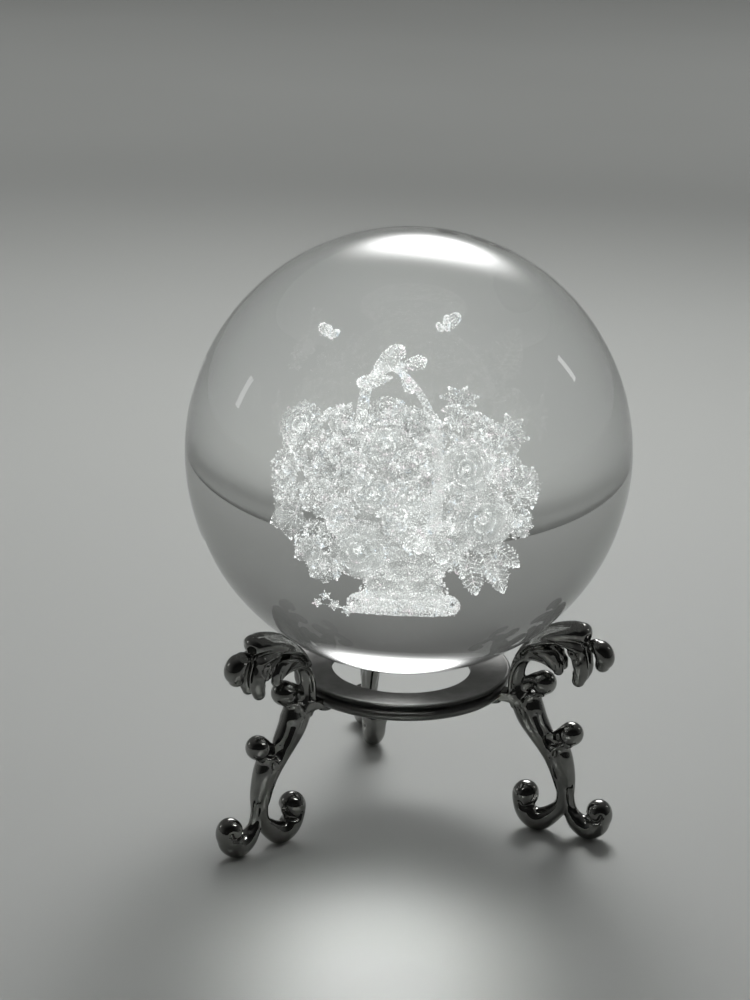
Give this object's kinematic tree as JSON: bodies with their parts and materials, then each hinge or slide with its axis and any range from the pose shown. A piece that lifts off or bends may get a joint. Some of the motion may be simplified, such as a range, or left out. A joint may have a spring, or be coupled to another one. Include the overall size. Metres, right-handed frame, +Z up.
{
  "type": "crystal ball paperweight on stand",
  "caption": "Solid glass ball with a flower basket and butterflies engraved inside it, resting on a ring stand with scroll legs and curled leaf tops.",
  "frame": {"origin": "on the surface that the feet stand on, under the centre of the ball and of the ring", "axes": "+Z up along the ball's vertical axis; +Y towards the back leg, so the front looks between the two front legs along +Y"},
  "size_m": [0.08, 0.0813, 0.1093],
  "materials": {
    "crystal": "clear polished optical glass",
    "ring_metal": "polished black nickel plate, turned",
    "leg_metal": "polished black nickel plate over a casting",
    "screw_metal": "dark plated",
    "engraving": "white granular marks inside the glass"
  },
  "bodies": {
    "stand": {"support_ring": "ring_metal", "leg_back": "leg_metal", "leg_front_left": "leg_metal", "leg_front_right": "leg_metal", "leg_screws": "screw_metal"},
    "ball": {"crystal_ball": "crystal", "engraved_basket": "engraving", "engraved_handle": "engraving", "engraved_top_bow": "engraving", "engraved_front_bow": "engraving", "engraved_roses": "engraving", "engraved_open_flowers": "engraving", "engraved_small_flowers": "engraving", "engraved_leaves": "engraving", "engraved_sprig": "engraving", "engraved_butterfly_left": "engraving", "engraved_butterfly_right": "engraving"}
  },
  "joints": [
    {"name": "ball_lift", "type": "slide", "parent": "stand", "child": "ball", "axis": [0, 0, 1], "range_m": [0, 0.05]}
  ]
}
